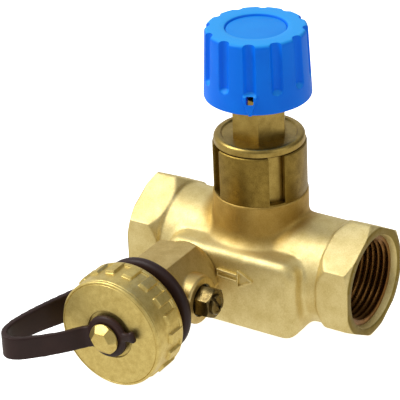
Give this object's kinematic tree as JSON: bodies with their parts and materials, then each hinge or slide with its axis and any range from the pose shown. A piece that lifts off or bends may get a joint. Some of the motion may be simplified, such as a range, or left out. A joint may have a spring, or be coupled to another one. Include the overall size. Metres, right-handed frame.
{
  "type": "shut-off valve",
  "caption": "Brass shut-off valve with female pipe threads, a grooved blue knob and a side drain cock closed by a ribbed cap on a rubber strap.",
  "frame": {"origin": "on the inlet's axis, in the plane where its pipe thread begins, 1.5 mm inside the inlet's end face", "axes": "+X along the run from the inlet to the outlet, +Z along the stem towards the knob, -Y along the drain cock towards its cap"},
  "size_m": [0.0795, 0.0991, 0.0922],
  "materials": {
    "cast_brass": "pale blasted casting",
    "machined_brass": "turned, satin",
    "cap_brass": "fine matt grain",
    "steel": "bright",
    "seal_rubber": "matt black",
    "strap_rubber": "satin dark brown",
    "knob_plastic": "satin blue moulding",
    "disc_plastic": "satin blue moulding"
  },
  "bodies": {
    "housing": {"valve_body": "cast_brass", "bonnet": "machined_brass", "bonnet_o_ring": "seal_rubber", "gland_bush": "machined_brass", "drain_cock_body": "cast_brass", "drain_gasket": "seal_rubber", "drain_clip": "steel", "strap_ring": "strap_rubber", "strap_band": "strap_rubber"},
    "seat_cone": {"valve_cone": "machined_brass", "seat_washer": "seal_rubber", "cone_nut": "machined_brass", "cone_clip": "steel"},
    "stem": {"spindle": "machined_brass", "spindle_o_ring_lower": "seal_rubber", "spindle_o_ring_upper": "seal_rubber", "knob": "knob_plastic", "knob_insert": "machined_brass", "knob_screw": "steel", "knob_disc": "disc_plastic"},
    "drain_plug": {"drain_tip": "machined_brass", "drain_tip_seal": "seal_rubber"},
    "drain_spindle": {"drain_screw": "cast_brass", "drain_screw_o_ring": "seal_rubber"},
    "eyelet": {"strap_eyelet": "strap_rubber"},
    "cap": {"drain_cap": "cap_brass", "cap_gasket": "seal_rubber", "cap_stud": "cap_brass"}
  },
  "joints": [
    {"name": "cone_lift", "type": "slide", "parent": "housing", "child": "seat_cone", "axis": [0, 0, 1], "range_m": [-0.0045, 0]},
    {"name": "knob_turn", "type": "hinge", "parent": "seat_cone", "child": "stem", "pos_m": [0.0365, 0, 0.06], "axis": [0, 0, 1], "range_deg": [-1080, 0]},
    {"name": "drain_plug_travel", "type": "slide", "parent": "housing", "child": "drain_plug", "axis": [1, 0, 0], "range_m": [0, 0.003]},
    {"name": "drain_screw_turn", "type": "hinge", "parent": "drain_plug", "child": "drain_spindle", "pos_m": [0.035, -0.033, 0], "axis": [1, 0, 0], "range_deg": [0, 1080]},
    {"name": "cap_travel", "type": "slide", "parent": "housing", "child": "eyelet", "axis": [0, -1, 0], "range_m": [0, 0.00725], "deforming": ["strap_band"]},
    {"name": "cap_turn", "type": "hinge", "parent": "eyelet", "child": "cap", "pos_m": [0.023, -0.055, 0], "axis": [0, -1, 0], "range_deg": [0, 1440]}
  ],
  "couplings": [
    {"joint": "knob_turn", "follows": "cone_lift", "rad_per_m": 4188.7},
    {"joint": "drain_screw_turn", "follows": "drain_plug_travel", "rad_per_m": 6283.1},
    {"joint": "cap_turn", "follows": "cap_travel", "rad_per_m": 3463.7}
  ]
}
